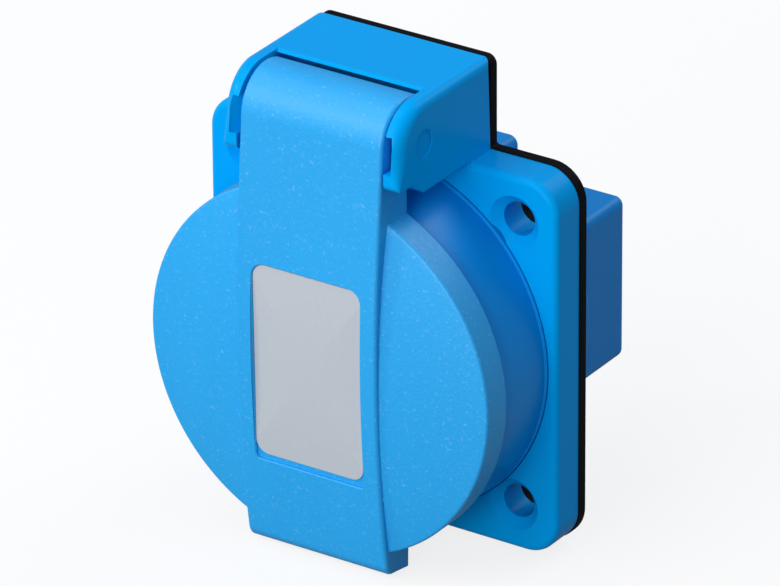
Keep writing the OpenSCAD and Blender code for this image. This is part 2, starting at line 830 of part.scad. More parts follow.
module hinge_pin() {
    half = tower_w / 2;
    c = pin_chamfer;
    color(steel) translate([0, hinge_axis.x, hinge_axis.y]) rotate([0, 90, 0]) rotate_extrude()
        polygon([
            [0, -half + c], [hinge_pin_d / 2 - c, -half + c], [hinge_pin_d / 2, -half + 2 * c],
            [hinge_pin_d / 2, half - ear_blind_wall - 2 * c],
            [hinge_pin_d / 2 - c, half - ear_blind_wall - c], [0, half - ear_blind_wall - c]
        ]);
}

// Sweeps a round wire along points, turning each ring to face along the path
module wire(path, d, sides) {
    last = len(path) - 1;
    ahead = [for (i = [0:last]) unit(path[min(i + 1, last)] - path[max(i - 1, 0)])];
    across = [for (i = [0:last]) unit(cross(ahead[i], cross(wire_side_way, ahead[i])))];
    skin([
        for (i = [0:last]) [
            for (k = [0:sides - 1])
                path[i] + d / 2 * (across[i] * cos(360 * k / sides)
                    + cross(ahead[i], across[i]) * sin(360 * k / sides))
        ]
    ]);
}

module lid_spring() {
    color(steel) wire(spring_path, spring_wire_d, wire_sides);
}

module box_shell() {
    w = box_half_w;
    h = box_half_h;
    e = box_edge_r;
    intersection() {
        along_y(barrel_end, box_end) round_rect([-w, -h], [w, h], [e, e, e, e]);
        along_x(-w, w) round_rect([barrel_end, -h], [box_end, h], [0, e, e, 0]);
        along_z(-h, h) round_rect([-w, barrel_end], [w, box_end], [0, 0, e, e]);
    }
}

// One pole's chamber, with the post that carries its terminal left standing
module pole_chamber(x) {
    side = x > 0 ? 0 : 1;
    mirror([side, 0, 0]) difference() {
        block([divider_t / 2, barrel_end, -chamber_half_h],
            [box_half_w - box_wall, box_end + over, chamber_half_h]);
        block([pin_x - clamp_half_w, barrel_end - over, -chamber_half_h - over],
            [pin_x + clamp_half_w, tab_y, -term_drop + clamp_half_h]);
    }
}

module terminal_block() {
    earth_half = earth_half_w - earth_wall;
    color(blue) difference() {
        union() {
            rod_y(2 * (seat_r - block_gap), floor_back, barrel_end);
            box_shell();
            along_y(barrel_end, earth_end)
                round_rect([-earth_half_w, 0], [earth_half_w, earth_top], [0, 0, box_edge_r, box_edge_r]);
        }
        for (x = [-pin_x, pin_x]) {
            pole_chamber(x);
            rod_y(2 * sleeve_bore_r, floor_back - over, barrel_end + over, [x, 0]);
            rod_y(term_screw_d + 2 * relief_gap, tab_y - screw_reach, tab_y + over, [x, -term_drop]);
            block([x - wire_notch_w / 2, clamp_back, -box_half_h - over],
                [x + wire_notch_w / 2, box_end + over, -chamber_half_h + over]);
        }
        block([-strap_w / 2 - relief_gap, floor_back - over, -seat_r],
            [strap_w / 2 + relief_gap, earth_back + thread_gap, seat_r]);
        block([-earth_half, floor_back - over, box_half_h],
            [earth_half, earth_end + over, earth_top - earth_wall]);
        for (place = block_places) {
            rod_y(boss_d + 2 * block_gap, floor_back - over, floor_back + boss_h + thread_gap, place);
            rod_y(block_screw_d + 2 * hole_gap, floor_back, barrel_end + over, place);
        }
    }
}

// A pan-head screw that points to the front, with its head's seat at one Y
module pan_screw(place, seat, thread_d, head_d, head_h, shank) {
    dome = head_h * head_dome_share;
    difference() {
        translate([place.x, 0, place.y]) about_y() polygon([
            [0, seat - shank], [thread_d / 2 - screw_point, seat - shank],
            [thread_d / 2, seat - shank + screw_point], [thread_d / 2, seat], [head_d / 2, seat],
            [head_d / 2, seat + head_h - dome], [head_d / 2 - dome, seat + head_h], [0, seat + head_h]
        ]);
        block([place.x - head_d, seat + head_h - screw_slot_d, place.y - screw_slot_w / 2],
            [place.x + head_d, seat + head_h + over, place.y + screw_slot_w / 2]);
    }
}

module block_screws() {
    color(steel) for (place = block_places)
        pan_screw(place, barrel_end, block_screw_d, block_head_d, block_head_h, block_screw_len);
}

// A split sleeve that grips the plug's pin, with a terminal tab below it
module pole_contact(x) {
    seam = sleeve_seam / 2;
    color(brass) difference() {
        union() {
            rod_y(2 * sleeve_out, sleeve_from, sleeve_to, [x, 0]);
            block([x - clamp_half_w, tab_y, -term_drop - clamp_half_h],
                [x + clamp_half_w, tab_back, -sleeve_r]);
        }
        rod_y(2 * sleeve_r, sleeve_from - over, sleeve_to + over, [x, 0]);
        block([x - seam, sleeve_from - over, 0], [x + seam, sleeve_to + over, sleeve_out + over]);
        block([x - sleeve_out - over, sleeve_from - over, -seam],
            [x + sleeve_out + over, tab_y - sleeve_root, seam]);
        rod_y(term_screw_d + 2 * thread_gap, tab_y - over, tab_back + over, [x, -term_drop]);
    }
}

// An open spring ring round the sleeve's mouth
module grip_ring(x) {
    to = grip_from + grip_w;
    color(steel) difference() {
        rod_y(2 * grip_out, grip_from, to, [x, 0]);
        rod_y(2 * (sleeve_out + grip_gap), grip_from - over, to + over, [x, 0]);
        block([x - sleeve_seam, grip_from - over, 0], [x + sleeve_seam, to + over, grip_out + over]);
    }
}

module line_contact() { pole_contact(-pin_x); }
module neutral_contact() { pole_contact(pin_x); }
module line_grip_ring() { grip_ring(-pin_x); }
module neutral_grip_ring() { grip_ring(pin_x); }

// One side of a bent strip: each point of a path in Y and Z moved off to the left, with mitred bends
function run(path, i) = unit(path[i + 1] - path[i]);
function left_of(v) = [-v.y, v.x];
function strip_side(path, off) = [
    for (i = [0:len(path) - 1])
        let (
            before = left_of(run(path, max(i - 1, 0))),
            after = left_of(run(path, min(i, len(path) - 2))),
            mitre = unit(before + after)
        )
        path[i] + mitre * off / (mitre * after)
];

module strip(path, t) {
    left = strip_side(path, t / 2);
    right = strip_side(path, -t / 2);
    count = len(path);
    polygon(concat(left, [for (i = [0:count - 1]) right[count - 1 - i]]));
}

// The strap behind the floor, with a sprung clip bent forward at each end
module earth_strap() {
    middle = floor_back + strap_t / 2;
    clip = [
        [middle, 0], [middle, strap_reach], [well_floor - clip_root, strap_reach],
        [clip_y + clip_land, clip_crest], [clip_y - clip_land, clip_crest],
        [clip_y - clip_flare, strap_reach - strap_t / 2]
    ];
    color(brass) difference() {
        for (side = [0, 1])
            mirror([0, 0, side]) along_x(-strap_w / 2, strap_w / 2) strip(clip, strap_t);
        rod_y(term_screw_d + 2 * thread_gap, floor_back - over, earth_back + over, [0, earth_term_z]);
    }
}

module clamp_plate(place, front) {
    color(steel) difference() {
        block([place.x - clamp_half_w, front, place.y - clamp_half_h],
            [place.x + clamp_half_w, front + clamp_t, place.y + clamp_half_h]);
        rod_y(term_screw_d + 2 * hole_gap, front - over, front + clamp_t + over, place);
    }
}

module terminal_screw(place, seat, shank) {
    color(steel) pan_screw(place, seat, term_screw_d, term_head_d, term_head_h, shank);
}

module line_clamp() { clamp_plate([-pin_x, -term_drop], tab_back); }
module neutral_clamp() { clamp_plate([pin_x, -term_drop], tab_back); }
module earth_clamp() { clamp_plate([0, earth_term_z], earth_back); }
module line_screw() { terminal_screw([-pin_x, -term_drop], clamp_back, screw_reach); }
module neutral_screw() { terminal_screw([pin_x, -term_drop], clamp_back, screw_reach); }
module earth_screw() { terminal_screw([0, earth_term_z], earth_clamp_back, earth_shank); }

flange_frame();
flange_gasket();
socket_insert();
lid();
lid_seal();
rating_label();
hinge_pin();
lid_spring();
terminal_block();
block_screws();
line_contact();
neutral_contact();
line_grip_ring();
neutral_grip_ring();
earth_strap();
line_clamp();
neutral_clamp();
earth_clamp();
line_screw();
neutral_screw();
earth_screw();
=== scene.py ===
# %% [markdown]
# # A panel socket with a hinged lid
#
# The object is a blue mains socket that is screwed to a panel: a square flange with a hinge tower, a
# round collar with the plug well, a lid on a spring, a black gasket, and a terminal box behind the panel.
# The CAD model gives every piece its place. Its meshes are coarse, so this lesson makes the mouldings
# again as fine surfaces and gives each one the finish of the real material. X points to the right, Y into
# the panel and Z up. Lengths are millimetres until a mesh is made.

import bmesh
import bpy
import numpy as np
from mathutils import Matrix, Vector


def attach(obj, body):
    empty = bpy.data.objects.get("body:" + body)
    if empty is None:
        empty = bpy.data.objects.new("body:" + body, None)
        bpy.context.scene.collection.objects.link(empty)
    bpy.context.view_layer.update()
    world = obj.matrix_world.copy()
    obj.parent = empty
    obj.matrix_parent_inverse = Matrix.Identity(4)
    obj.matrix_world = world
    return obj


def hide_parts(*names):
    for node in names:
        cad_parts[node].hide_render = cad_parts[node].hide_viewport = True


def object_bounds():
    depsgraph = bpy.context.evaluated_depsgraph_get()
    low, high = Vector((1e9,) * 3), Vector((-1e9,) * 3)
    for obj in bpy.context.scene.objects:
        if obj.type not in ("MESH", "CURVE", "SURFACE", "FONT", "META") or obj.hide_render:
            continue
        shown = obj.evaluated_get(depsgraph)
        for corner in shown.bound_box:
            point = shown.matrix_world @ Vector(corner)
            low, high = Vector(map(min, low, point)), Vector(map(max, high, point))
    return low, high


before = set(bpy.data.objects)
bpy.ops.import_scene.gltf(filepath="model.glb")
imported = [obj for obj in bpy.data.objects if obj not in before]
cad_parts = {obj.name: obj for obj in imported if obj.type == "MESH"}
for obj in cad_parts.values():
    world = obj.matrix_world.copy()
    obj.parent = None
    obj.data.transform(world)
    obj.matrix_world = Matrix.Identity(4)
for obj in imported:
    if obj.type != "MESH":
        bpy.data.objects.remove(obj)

MM = 0.001
cad_box = [list(corner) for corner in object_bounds()]
print("CAD box in mm:", [[round(v / MM, 2) for v in corner] for corner in cad_box])

# %% [markdown]
# ## Outlines
#
# A moulding is mostly a flat outline carried along an axis, so outlines come first. A corner is rounded
# by an arc that touches both of its sides. The way inwards at each point is needed later, to roll an edge
# over: two neighbouring sides move in by the same distance if their normals are added and divided by one
# plus their dot product.

# %% Outline helpers
def arc(centre, radius, start, stop, steps):
    """Points on a circle: the centre plus the radius times (cos, sin) of an evenly growing angle."""
    turn = np.radians(np.linspace(start, stop, steps + 1))
    return np.asarray(centre, float) + radius * np.stack([np.cos(turn), np.sin(turn)], axis=1)


def soft_corner(before, here, after, radius, steps):
    """An arc that touches both sides of a corner: its centre lies radius / sin(half angle) from the corner."""
    if radius == 0:
        return here[None]
    a = (before - here) / np.linalg.norm(before - here)
    b = (after - here) / np.linalg.norm(after - here)
    half = 0.5 * np.arccos(np.clip(a @ b, -1, 1))
    centre = here + (a + b) / np.linalg.norm(a + b) * radius / np.sin(half)
    first = here + a * radius / np.tan(half) - centre
    last = here + b * radius / np.tan(half) - centre
    swing = np.arctan2(first[0] * last[1] - first[1] * last[0], first @ last)
    turn = np.linspace(0, swing, steps + 1)[:, None]
    return centre + first * np.cos(turn) + np.array([-first[1], first[0]]) * np.sin(turn)


def soft_outline(rows, steps=12):
    """A closed outline through corners, each given as its two coordinates and the radius that rounds it."""
    rows = np.asarray(rows, float)
    corners = rows[:, :2]
    neighbours = zip(np.roll(corners, 1, 0), corners, np.roll(corners, -1, 0), rows[:, 2])
    return np.concatenate([soft_corner(*row, steps) for row in neighbours])


def rectangle(x0, z0, x1, z1, radii, steps=12):
    """A rounded rectangle between two corners; radii go anticlockwise from the low corner, or are all one."""
    corners = [(x0, z0), (x1, z0), (x1, z1), (x0, z1)]
    return soft_outline(np.column_stack([corners, np.broadcast_to(radii, 4)]), steps)


def inward(outline):
    """The way in from each point: the sum of both sides' normals over one plus their dot product."""
    ahead = np.roll(outline, -1, 0) - outline
    ahead /= np.linalg.norm(ahead, axis=1, keepdims=True)
    left = np.stack([-ahead[:, 1], ahead[:, 0]], axis=1)
    before = np.roll(left, 1, 0)
    return (left + before) / (1 + (left * before).sum(1))[:, None]


# %% [markdown]
# ## From outlines to solids
#
# An outline is carried straight along an axis with rolled edges, turned about the socket's axis, or filled
# to lie on a curved surface. Each result is a grid of points, worked out as one array. A modelling cage
# under a subdivision modifier would be another way, but it rounds every edge alike, and here each edge has
# its own radius. Whole solids are then joined and cut as a mould maker would, with exact booleans. Those
# stay closed as long as no cutter shares a plane with the surface that it meets.

# %% Solid helpers
MERGE_M, SLIVER_M = 1e-6, 1e-7


def grid_faces(rows, cols, wrap_rows=False):
    """The quads of a grid of points, numbered row by row; a row always closes on itself."""
    i = np.arange(rows if wrap_rows else rows - 1)[:, None]
    j = np.arange(cols)[None, :]
    next_i, next_j = (i + 1) % rows, (j + 1) % cols
    quads = [i * cols + j, i * cols + next_j, next_i * cols + next_j, next_i * cols + j]
    return np.stack(quads, axis=-1).reshape(-1, 4).tolist()


def solid(name, points, faces):
    """Puts points in millimetres and faces into a mesh, merges doubles and turns the faces outwards."""
    mesh = bpy.data.meshes.new(name)
    mesh.from_pydata((np.asarray(points).reshape(-1, 3) * MM).tolist(), [], faces)
    work = bmesh.new()
    work.from_mesh(mesh)
    bmesh.ops.remove_doubles(work, verts=work.verts, dist=MERGE_M)
    bmesh.ops.dissolve_degenerate(work, edges=work.edges, dist=SLIVER_M)
    bmesh.ops.recalc_face_normals(work, faces=work.faces)
    work.to_mesh(mesh)
    work.free()
    thing = bpy.data.objects.new(name, mesh)
    bpy.context.scene.collection.objects.link(thing)
    return thing


def along(axis, flat, height):
    """Points from a flat outline and a height along one axis; the outline keeps the order of the other two."""
    a, b = flat[..., 0], flat[..., 1]
    order = {"x": (height, a, b), "y": (a, height, b), "z": (a, b, height)}
    return np.stack(np.broadcast_arrays(*order[axis]), axis=-1)


def prism(name, outline, lo, hi, axis, r_lo=0.0, r_hi=0.0, steps=8):
    """Carries an outline along an axis. Near an end it moves in by r (1 - sin t) and stops r (1 - cos t) short
    of that end, with t from 0 to 90 degrees, so the edge rolls over to the radius r; r may vary along it."""
    outline = np.asarray(outline, float)
    count = len(outline)
    turn = np.radians(np.linspace(0, 90, steps + 1))[:, None]

    def rolled(r):
        r = np.broadcast_to(np.asarray(r, float), (1, count))
        return (r * (1 - np.sin(turn)), r * (1 - np.cos(turn))) if r.any() else (r, r)

    in_lo, up_lo = rolled(r_lo)
    in_hi, up_hi = rolled(r_hi)
    inset = np.concatenate([in_lo, in_hi[::-1]])
    height = np.concatenate([lo + up_lo, hi - up_hi[::-1]])
    flat = outline + inset[..., None] * inward(outline)
    rows = len(inset)
    caps = [list(range(count)), list(range((rows - 1) * count, rows * count))]
    return solid(name, along(axis, flat, height), grid_faces(rows, count) + caps)


def block(name, lo, hi):
    """A box between two corners, as a square outline carried up."""
    return prism(name, rectangle(lo[0], lo[1], hi[0], hi[1], 0), lo[2], hi[2], "z")


def rod(name, axis, centre, radius, lo, hi, r_end=0.0, steps=64):
    """A round bar along an axis."""
    return prism(name, arc(centre, radius, 0, 360, steps)[:-1], lo, hi, axis, r_end, r_end, 4)


def revolve(name, profile, start=0, stop=360, steps=192):
    """Turns a closed profile of radius and Y about the Y axis: X = r cos a and Z = r sin a."""
    profile = np.asarray(profile, float)
    whole = stop - start == 360
    turn = np.radians(np.linspace(start, stop, steps + 1))[: steps if whole else steps + 1, None]
    r, y = profile[:, 0], profile[:, 1]
    flat_y = np.broadcast_to(y, (len(turn), len(y)))
    points = np.stack([r * np.cos(turn), flat_y, r * np.sin(turn)], axis=-1)
    count = len(profile)
    last = (len(turn) - 1) * count
    caps = [] if whole else [list(range(count)), list(range(last, last + count))]
    return solid(name, points, grid_faces(len(turn), count, whole) + caps)


def shrinking(outline, rings):
    """Copies of an outline that shrink evenly to its middle, from the middle outwards."""
    middle = outline.mean(0)
    return middle + np.linspace(0, 1, rings + 1)[:, None, None] * (outline - middle)


def slab(name, outline, low, high, rings=14):
    """Fills an outline of X and Z with shrinking copies, laid on Y = low(X, Z) and Y = high(X, Z)."""
    flat = shrinking(outline, rings)
    x, z = flat[..., 0], flat[..., 1]
    under = np.stack([x, low(x, z), z], axis=-1)
    over = np.stack([x, high(x, z), z], axis=-1)[::-1]
    return solid(name, np.concatenate([under, over]), grid_faces(2 * (rings + 1), len(outline)))


def pocket(name, outline, surface, depth, flare, top, proud=0.02, rings=14):
    """A cutter for a shallow recess: a floor at one depth below a surface, straight walls, and a rim that opens
    by the flare on its way to just proud of the surface; from there it goes straight on to the top."""
    wide = outline - flare * inward(outline)
    flat = np.concatenate([
        shrinking(outline, rings), outline[None], wide[None], shrinking(wide, rings)[::-1]])
    x, z = flat[..., 0], flat[..., 1]
    wall, rim = rings + 1, rings + 2
    y = np.concatenate([
        surface(depth)(x, z)[:wall], surface(flare)(x, z)[wall:rim], surface(-proud)(x, z)[rim:rim + 1],
        np.full((rings + 1, len(outline)), top)])
    return solid(name, np.stack([x, y, z], axis=-1), grid_faces(len(flat), len(outline)))


def carve(base, joins=(), cuts=()):
    """Adds and cuts whole solids with exact booleans, and keeps the result as the base's own mesh."""
    for tool, way in [(t, "UNION") for t in joins] + [(t, "DIFFERENCE") for t in cuts]:
        step = base.modifiers.new(way, "BOOLEAN")
        step.object, step.operation, step.solver = tool, way, "EXACT"
    graph = bpy.context.evaluated_depsgraph_get()
    mesh = bpy.data.meshes.new_from_object(base.evaluated_get(graph))
    base.modifiers.clear()
    base.data = mesh
    for tool in [*joins, *cuts]:
        bpy.data.objects.remove(tool)
    return base


# %% [markdown]
# ## Colours and materials
#
# Each finish starts from what the real material is. Hex colours are how a designer writes them, and one
# function turns them to the linear values that a shader takes. Patterns use Object coordinates, where one
# unit is a metre, so a grain of s millimetres needs a scale of 1000 / s.

# %% Material helpers
MIX_A, MIX_B, MIX_OUT = 6, 7, 2  # the colour sockets of a Mix node
NOISE_LOW, NOISE_HIGH = 0.3, 0.7  # between these lies nearly all of a noise


def colour(code):
    """sRGB hex to linear: a channel c is c / 12.92 below 0.04045 and ((c + 0.055) / 1.055) ^ 2.4 above."""
    c = np.array([int(code[i:i + 2], 16) for i in (1, 3, 5)]) / 255
    return (*np.where(c < 0.04045, c / 12.92, ((c + 0.055) / 1.055) ** 2.4).tolist(), 1.0)


def add(tree, kind, sockets=None, **settings):
    """Adds one node: settings are its own properties, and sockets sets or links its inputs."""
    made = tree.nodes.new(kind)
    for name, value in settings.items():
        setattr(made, name, value)
    for name, value in (sockets or {}).items():
        if isinstance(value, bpy.types.NodeSocket):
            tree.links.new(value, made.inputs[name])
        else:
            made.inputs[name].default_value = value
    return made


def new_material(name):
    """A material with an empty node tree."""
    made = bpy.data.materials.new(name)
    made.use_nodes = True
    made.node_tree.nodes.clear()
    return made, made.node_tree


def finish_material(tree, shader):
    """Links the shader to the material's output."""
    add(tree, "ShaderNodeOutputMaterial", {"Surface": shader.outputs[0]})


# %% [markdown]
# ### Blue polyamide
#
# The mouldings are blue glass-filled polyamide, from three kinds of tool. The lid came out of a
# spark-eroded half, so it has a fine grain that breaks the gloss; its glints at single points are a painted
# highlight, a paler blue mixed into its colour. The frame came out of a polished half and shows little but
# its colour. The insert and the block came out of a half polished to a gloss, and show the room as a soft
# sheen. All show slow streaks where the melt flowed. The real grain is about 0.1 mm, too fine for this
# picture, so it is drawn at 0.4 mm. On the other two any grain is far too fine to show, so they have none.

# %% Blue mouldings
POLYAMIDE_IOR = 1.53
STREAK_MM, STREAK_STRETCH = 14, (1.0, 1.0, 0.35)  # streaks are about three times as long along Z
# Painted highlight: where the grain is highest, this paler blue is mixed into the colour as glints
GLINT_LOW, GLINT_HIGH, PAINTED_GLINT_BLUE = 0.62, 0.76, "#BFE6FF"


def moulded_blue(name, base, dark, rough, gloss_level, gloss_tint, grain=None):
    """A moulded plastic: slow flow streaks mix two blues. A grain, given as its width and depth in mm, its
    spread of roughness and its share of painted glint, adds a fine noise to the surface. On the grain's highest
    points that share of a paler blue is mixed into the colour, a painted highlight for the light they catch."""
    made, tree = new_material(name)
    place = add(tree, "ShaderNodeTexCoord").outputs["Object"]
    drawn = add(tree, "ShaderNodeMapping", {"Vector": place, "Scale": STREAK_STRETCH}).outputs[0]
    streak = add(tree, "ShaderNodeTexNoise", {"Vector": drawn, "Scale": 1000 / STREAK_MM, "Detail": 3.0})
    blend = add(tree, "ShaderNodeMix", {
        "Factor": streak.outputs["Fac"], MIX_A: colour(dark), MIX_B: colour(base)}, data_type="RGBA")
    surface = {
        "Base Color": blend.outputs[MIX_OUT], "Roughness": rough, "IOR": POLYAMIDE_IOR,
        "Specular IOR Level": gloss_level, "Specular Tint": colour(gloss_tint)}
    if grain:
        width_mm, depth_mm, spread, painted_glint_share = grain
        noise = add(tree, "ShaderNodeTexNoise", {"Vector": place, "Scale": 1000 / width_mm, "Detail": 2.0})
        height = noise.outputs["Fac"]
        bump = add(tree, "ShaderNodeBump", {"Height": height, "Strength": 1.0, "Distance": depth_mm * MM})
        gloss = add(tree, "ShaderNodeMapRange", {
            "Value": height, "From Min": NOISE_LOW, "From Max": NOISE_HIGH,
            "To Min": rough - spread, "To Max": rough + spread})
        # Painted highlight: the grain's peaks get a share of the paler blue in their colour
        painted_glint = add(tree, "ShaderNodeMapRange", {
            "Value": height, "From Min": GLINT_LOW, "From Max": GLINT_HIGH, "To Min": 0.0, "To Max": painted_glint_share})
        glint_painted_colour = add(tree, "ShaderNodeMix", {
            "Factor": painted_glint.outputs[0], MIX_A: blend.outputs[MIX_OUT], MIX_B: colour(PAINTED_GLINT_BLUE)},
            data_type="RGBA")
        surface |= {
            "Base Color": glint_painted_colour.outputs[MIX_OUT], "Roughness": gloss.outputs[0], "Normal": bump.outputs[0]}
    finish_material(tree, add(tree, "ShaderNodeBsdfPrincipled", surface))
    return made


# Spark grain: a satin blue with small painted glints, a paler blue on the grain's peaks
grained_blue = moulded_blue(
    "spark_grained_blue_polyamide", "#24A6E6", "#1C9EE0", 0.46, 0.45, "#FFFFFF", (0.40, 0.035, 0.10, 0.18))
# Polished tool: deep even colour, and a faint sheen tinted by it
smooth_blue = moulded_blue("polished_blue_polyamide", "#00A2EA", "#009AE2", 0.28, 0.07, "#A8DCFF")
# Gloss-polished tool: a darker blue under a broad pale sheen
glossy_blue = moulded_blue("gloss_polished_blue_polyamide", "#0096E6", "#008EDE", 0.36, 0.24, "#E4F2FF")
print("blue mouldings:", grained_blue.name, smooth_blue.name, glossy_blue.name)

# %% [markdown]
# ### Rubber, label, steel and brass
#
# The gasket and the lid's seal are moulded EPDM rubber: near black, with a dull bloom. The label is a
# satin silver polyester sticker with nothing printed on it. Screws, clamps, the hinge pin and the spring
# are zinc-plated steel, and the contacts are stamped brass. All are two close colours under one noise,
# drawn out on the metals as rolling and drawing leave it.

# %% Other materials
def speckled(name, base, other, grain_mm, depth_mm, rough, metallic=0.0, stretch=(1.0, 1.0, 1.0),
             spread=0.05, level=0.5):
    """Two close colours mixed by a noise that also gives the bump and the roughness; stretch draws the noise
    out along an axis."""
    made, tree = new_material(name)
    place = add(tree, "ShaderNodeTexCoord").outputs["Object"]
    drawn = add(tree, "ShaderNodeMapping", {"Vector": place, "Scale": stretch}).outputs[0]
    noise = add(tree, "ShaderNodeTexNoise", {"Vector": drawn, "Scale": 1000 / grain_mm, "Detail": 4.0})
    height = noise.outputs["Fac"]
    blend = add(tree, "ShaderNodeMix", {
        "Factor": height, MIX_A: colour(other), MIX_B: colour(base)}, data_type="RGBA")
    gloss = add(tree, "ShaderNodeMapRange", {
        "Value": height, "From Min": NOISE_LOW, "From Max": NOISE_HIGH,
        "To Min": rough - spread, "To Max": rough + spread})
    bump = add(tree, "ShaderNodeBump", {"Height": height, "Strength": 1.0, "Distance": depth_mm * MM})
    finish_material(tree, add(tree, "ShaderNodeBsdfPrincipled", {
        "Base Color": blend.outputs[MIX_OUT], "Roughness": gloss.outputs[0], "Metallic": metallic,
        "Normal": bump.outputs[0], "Specular IOR Level": level}))
    return made


# Rubber swallows the light; only its rounded edges turn grey
epdm_rubber = speckled("moulded_epdm_rubber", "#0D0E11", "#08090B", 0.5, 0.010, 0.62, level=0.06)
# The sticker's foil under a matt film: pale, a little metallic
label_foil = speckled("satin_silver_polyester", "#C6CBD0", "#BCC2C8", 0.35, 0.002, 0.38, 0.15)
# Zinc is a cool bright grey with a soft reflection
zinc_steel = speckled("zinc_plated_steel", "#B9BDC2", "#A7ABB1", 0.4, 0.003, 0.30, 1.0, (1.0, 0.2, 1.0))
# Rolled strip, stamped and left bare: warm yellow, fine lines along X
stamped_brass = speckled("stamped_brass", "#C9A45A", "#B8924A", 0.6, 0.003, 0.32, 1.0, (0.3, 1.0, 1.0))
print("other materials:", epdm_rubber.name, label_foil.name, zinc_steel.name, stamped_brass.name)

# %% [markdown]
# ## Finishing a piece
#
# Every piece ends the same way: it gets its material, its smooth shading with sharp creases, and where an
# edge was left fresh by a cut, a small bevel, because no moulded edge is razor sharp. Weighted normals keep
# large flat faces flat beside small rolled ones. Then it rides on its body and takes its CAD node's place.

# %% Finishing helper
def finish_piece(thing, material, body, hides, sharp=35, bevel_mm=0.0):
    """Rounds fresh edges a little, shades the rest smoothly, ties the piece to its body and hides its CAD node.
    """
    thing.data.materials.clear()
    thing.data.materials.append(material)
    thing.data.shade_smooth()
    thing.data.set_sharp_from_angle(angle=np.radians(sharp))
    if bevel_mm:
        soft = thing.modifiers.new("edge_radius", "BEVEL")
        soft.width, soft.segments, soft.limit_method = bevel_mm * MM, 2, "ANGLE"
        soft.angle_limit = np.radians(sharp)
        soft.harden_normals = True
    even = thing.modifiers.new("even_shading", "WEIGHTED_NORMAL")
    even.keep_sharp = True
    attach(thing, body)
    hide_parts(*hides)
    work = bmesh.new()
    work.from_mesh(thing.data)
    open_edges = sum(not edge.is_manifold for edge in work.edges)
    volume = round(work.calc_volume() / MM**3)
    print(thing.name, "faces:", len(work.faces), "mm3:", volume, "open edges:", open_edges)
    work.free()


def moved(thing, x, z=0.0):
    """Shifts a cutter's mesh, so that its object stays at the origin."""
    thing.data.transform(Matrix.Translation((x * MM, 0, z * MM)))
    return thing


# %% [markdown]
# ## The flange frame
#
# One moulding holds the square flange and the hinge tower. The flange is its rounded square carried along
# Y, with the front edge rolled over. The tower is its side view carried along X. Its ends are rolled too,
# with a radius that grows from the roof to the nose of the ears, as on the real one, which a bevel of one
# width could not do. Then the bay of the lid's knuckle, the coves that open the ears' inner corners to the
# front, the round hole, the countersinks and the pin's hole are cut.

# %% Flange and tower
PANEL, FLANGE_BACK, LEDGE, FLANGE_FRONT = 0.0, -1.5, -3.5, -6.5
FLANGE_HALF, FLANGE_CORNER, FLANGE_ROLL = 25.0, 4.4, 0.9
TOWER_HALF, TOWER_TOP, TOWER_LOW, TOWER_FOOT = 12.6, 37.0, 25.2, 19.0
HINGE = np.array([-16.2, 31.6])  # Y and Z of the pin's axis
EAR_FRONT, EAR_LOW, NOSE = -21.8, 27.0, 5.6
ROOF_ROLL, NOSE_GROWTH, NOSE_LOW = 1.1, 0.8, 31.4
EAR_ROLL, EAR_GROWTH, EAR_RISE, UNDER_ROLL = 0.3, 1.6, 3.0, 0.25

flange = prism(
    "flange_frame_skin", rectangle(-FLANGE_HALF, -FLANGE_HALF, FLANGE_HALF, FLANGE_HALF, FLANGE_CORNER, 20),
    FLANGE_FRONT, FLANGE_BACK, "y", r_lo=FLANGE_ROLL)

side_view = soft_outline([
    (FLANGE_BACK, TOWER_FOOT, 0), (FLANGE_BACK, TOWER_TOP, 0), (EAR_FRONT, TOWER_TOP, NOSE),
    (EAR_FRONT, EAR_LOW, 1.0), (HINGE[0] - 2.6, EAR_LOW, 0.6), (HINGE[0], TOWER_LOW, 0.6),
    (FLANGE_FRONT, TOWER_LOW, 0.3), (FLANGE_FRONT, TOWER_FOOT, 0)], 24)
y, z = side_view.T
# The roll is 1.1 mm along the roof, grows to 1.9 mm round the nose, and fades out under the ears
nose_share = np.clip((EAR_FRONT + NOSE - y) / NOSE, 0, 1)
ear_share = np.clip((z - EAR_LOW - 0.2) / EAR_RISE, 0, 1)
in_flange = (y > FLANGE_FRONT - 0.01) & (z < TOWER_TOP - 0.01)
behind_pin = y > HINGE[0] - 0.1
roll = np.select(
    [in_flange, behind_pin & (z > 31), behind_pin, z > NOSE_LOW],
    [0.0, ROOF_ROLL, UNDER_ROLL, ROOF_ROLL + NOSE_GROWTH * nose_share], EAR_ROLL + EAR_GROWTH * ear_share)
tower = prism("tower", side_view, -TOWER_HALF, TOWER_HALF, "x", r_lo=roll, r_hi=roll)
print("tower roll in mm, largest:", round(float(roll.max()), 2))

# %% Bay and ear coves
BAY_HALF, BAY_R, BAY_LOW, BAY_TURN = 10.45, 5.9, 24.7, 59.0
BAY_FOOT, BAY_SLOT = 3.286, 3.377  # how far behind the pin the bay's arc starts and its slot stands
CLEAR = 0.5  # how far a cutter goes past what it cuts
COVE_LOW, COVE_HIGH = 29.25, 33.95

lip = np.degrees(np.arccos(BAY_FOOT / BAY_R))
slot_y, bay_front, bay_top = HINGE[0] + BAY_SLOT, EAR_FRONT - CLEAR, TOWER_TOP + CLEAR
bay_view = np.concatenate([
    [(bay_front, BAY_LOW), (HINGE[0] + BAY_FOOT, BAY_LOW)], arc(HINGE, BAY_R, -lip, BAY_TURN, 48),
    [(slot_y, TOWER_TOP), (slot_y, bay_top), (bay_front, bay_top)]])
cuts = [prism("bay", bay_view, -BAY_HALF, BAY_HALF, "x")]
for side in (-1, 1):
    cove = np.array([(9.9, -22.5), (11.5, -22.5), (11.5, -21.5), (10.5, -19.9), (9.9, -19.9)]) * (side, 1)
    cuts.append(prism("ear_slot", cove[::side], COVE_LOW, COVE_HIGH, "z"))
carve(tower, cuts=cuts)
print("tower with its bay:", len(tower.data.polygons), "faces")

